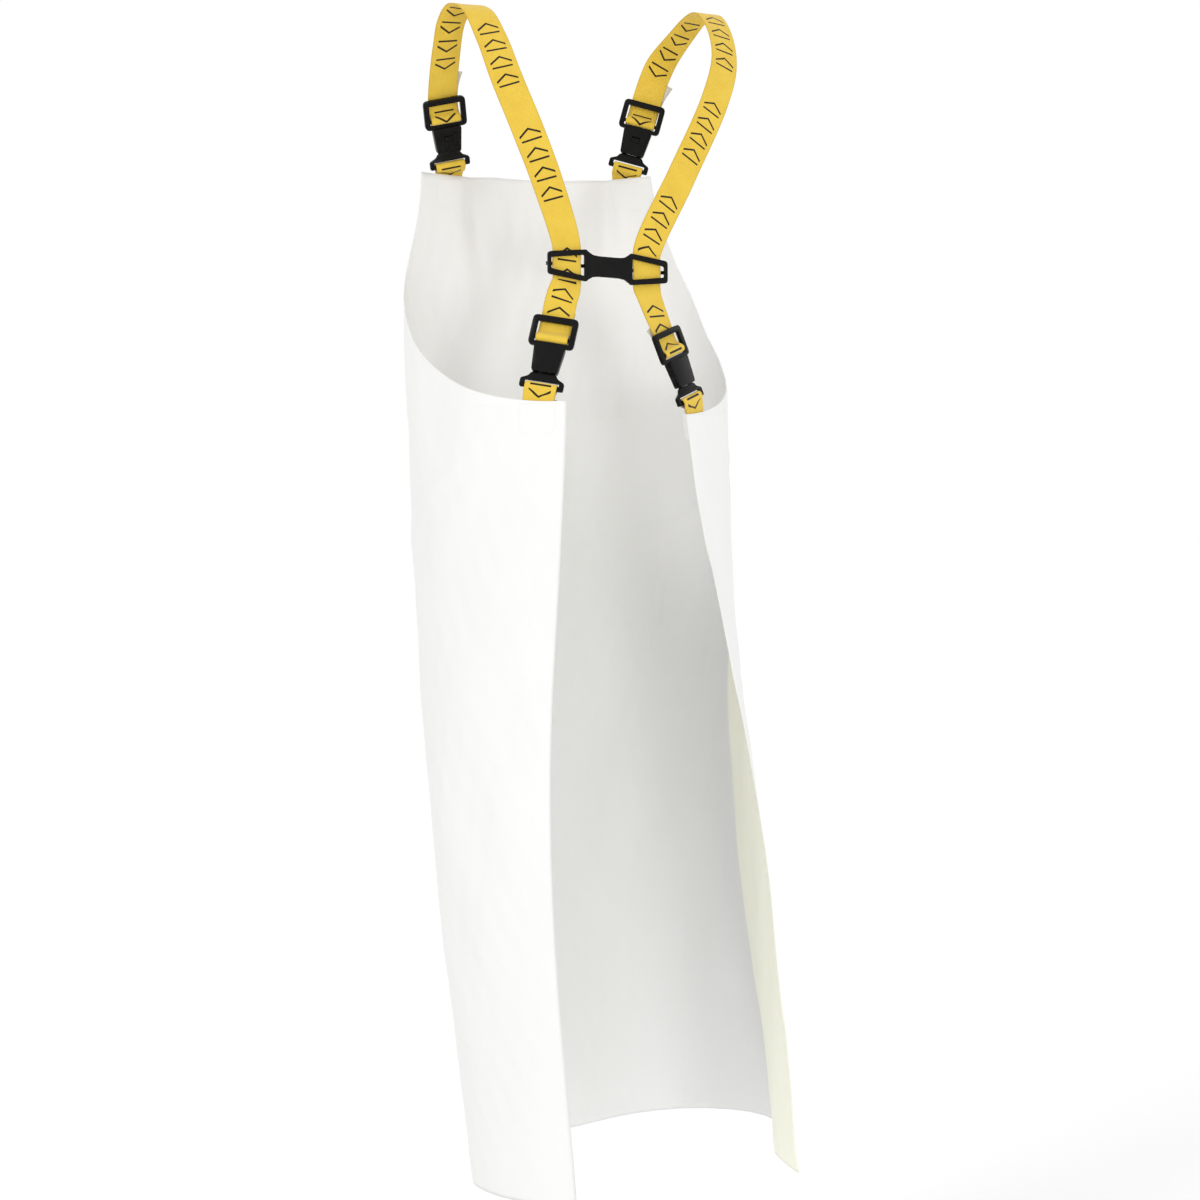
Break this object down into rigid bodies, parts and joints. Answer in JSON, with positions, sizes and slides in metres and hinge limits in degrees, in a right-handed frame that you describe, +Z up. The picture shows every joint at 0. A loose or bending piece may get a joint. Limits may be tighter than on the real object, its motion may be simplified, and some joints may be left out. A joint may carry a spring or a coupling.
{
  "type": "butcher apron",
  "caption": "Long white bib apron of coated cloth for butchers, with elastic shoulder straps, side-release buckles and a plastic back connector.",
  "frame": {"origin": "midway between the shoulders, where the underside of the straps rests on them", "axes": "+Z up along the apron's length, -Y out of the front of the bib, +Y out of the open back, +X to the wearer's left side of the pair of straps as worn facing -Y"},
  "size_m": [0.4819, 0.3884, 1.4355],
  "materials": {
    "coated_cloth": "smooth white PVC coating, satin, slightly translucent",
    "strap_webbing": "woven elastic webbing, yellow, with dark woven marks",
    "loop_webbing": "woven webbing, yellow with a pale reverse",
    "black_plastic": "smooth moulded black plastic"
  },
  "bodies": {
    "root": {"hook_plate_front_left": "black_plastic", "webbing_loop_front_left": "loop_webbing", "patch_front_left": "coated_cloth", "hook_plate_front_right": "black_plastic", "webbing_loop_front_right": "loop_webbing", "patch_front_right": "coated_cloth", "hook_plate_back_left": "black_plastic", "webbing_loop_back_left": "loop_webbing", "patch_back_left": "coated_cloth", "hook_plate_back_right": "black_plastic", "webbing_loop_back_right": "loop_webbing", "patch_back_right": "coated_cloth", "apron_cloth": "coated_cloth", "strap_left": "strap_webbing", "strap_right": "strap_webbing"},
    "buckle_front_left": {"buckle_body_front_left": "black_plastic"},
    "latch_front_left": {"latch_tongue_front_left": "black_plastic"},
    "buckle_front_right": {"buckle_body_front_right": "black_plastic"},
    "latch_front_right": {"latch_tongue_front_right": "black_plastic"},
    "buckle_back_left": {"buckle_body_back_left": "black_plastic"},
    "latch_back_left": {"latch_tongue_back_left": "black_plastic"},
    "buckle_back_right": {"buckle_body_back_right": "black_plastic"},
    "latch_back_right": {"latch_tongue_back_right": "black_plastic"},
    "connector": {"strap_connector": "black_plastic"}
  },
  "joints": [
    {"name": "release_front_left", "type": "slide", "parent": "root", "child": "buckle_front_left", "axis": [0.2813, 0.4452, 0.8501], "range_m": [0, 0.03], "deforming": ["strap_left", "latch_tongue_front_left"]},
    {"name": "press_front_left", "type": "hinge", "parent": "root", "child": "latch_front_left", "pos_m": [0.1341, -0.12029, -0.14594], "axis": [0.9525, -0.2375, -0.1908], "range_deg": [0, 8], "stiffness_Nm_per_rad": 0.03, "deforming": ["latch_tongue_front_left"]},
    {"name": "release_front_right", "type": "slide", "parent": "root", "child": "buckle_front_right", "axis": [-0.2592, 0.1683, 0.9511], "range_m": [0, 0.03], "deforming": ["strap_right", "latch_tongue_front_right"]},
    {"name": "press_front_right", "type": "hinge", "parent": "root", "child": "latch_front_right", "pos_m": [-0.10955, -0.07942, -0.14348], "axis": [0.7976, -0.518, 0.309], "range_deg": [0, 8], "stiffness_Nm_per_rad": 0.03, "deforming": ["latch_tongue_front_right"]},
    {"name": "release_back_left", "type": "slide", "parent": "root", "child": "buckle_back_left", "axis": [-0.3402, -0.0962, 0.9354], "range_m": [0, 0.03], "deforming": ["strap_left", "latch_tongue_back_left"]},
    {"name": "press_back_left", "type": "hinge", "parent": "root", "child": "latch_back_left", "pos_m": [0.15376, 0.13756, -0.44822], "axis": [-0.7493, 0.6287, -0.2079], "range_deg": [0, 8], "stiffness_Nm_per_rad": 0.03, "deforming": ["latch_tongue_back_left"]},
    {"name": "release_back_right", "type": "slide", "parent": "root", "child": "buckle_back_right", "axis": [0.341, -0.0367, 0.9393], "range_m": [0, 0.03], "deforming": ["strap_right", "latch_tongue_back_right"]},
    {"name": "press_back_right", "type": "hinge", "parent": "root", "child": "latch_back_right", "pos_m": [-0.03177, 0.1456, -0.46244], "axis": [-0.8879, -0.3408, 0.309], "range_deg": [0, 8], "stiffness_Nm_per_rad": 0.03, "deforming": ["latch_tongue_back_right"]},
    {"name": "connector_slide", "type": "slide", "parent": "root", "child": "connector", "axis": [-0.0436, 0, 0.999], "range_m": [-0.006, 0.01], "deforming": ["strap_left", "strap_right"]}
  ]
}
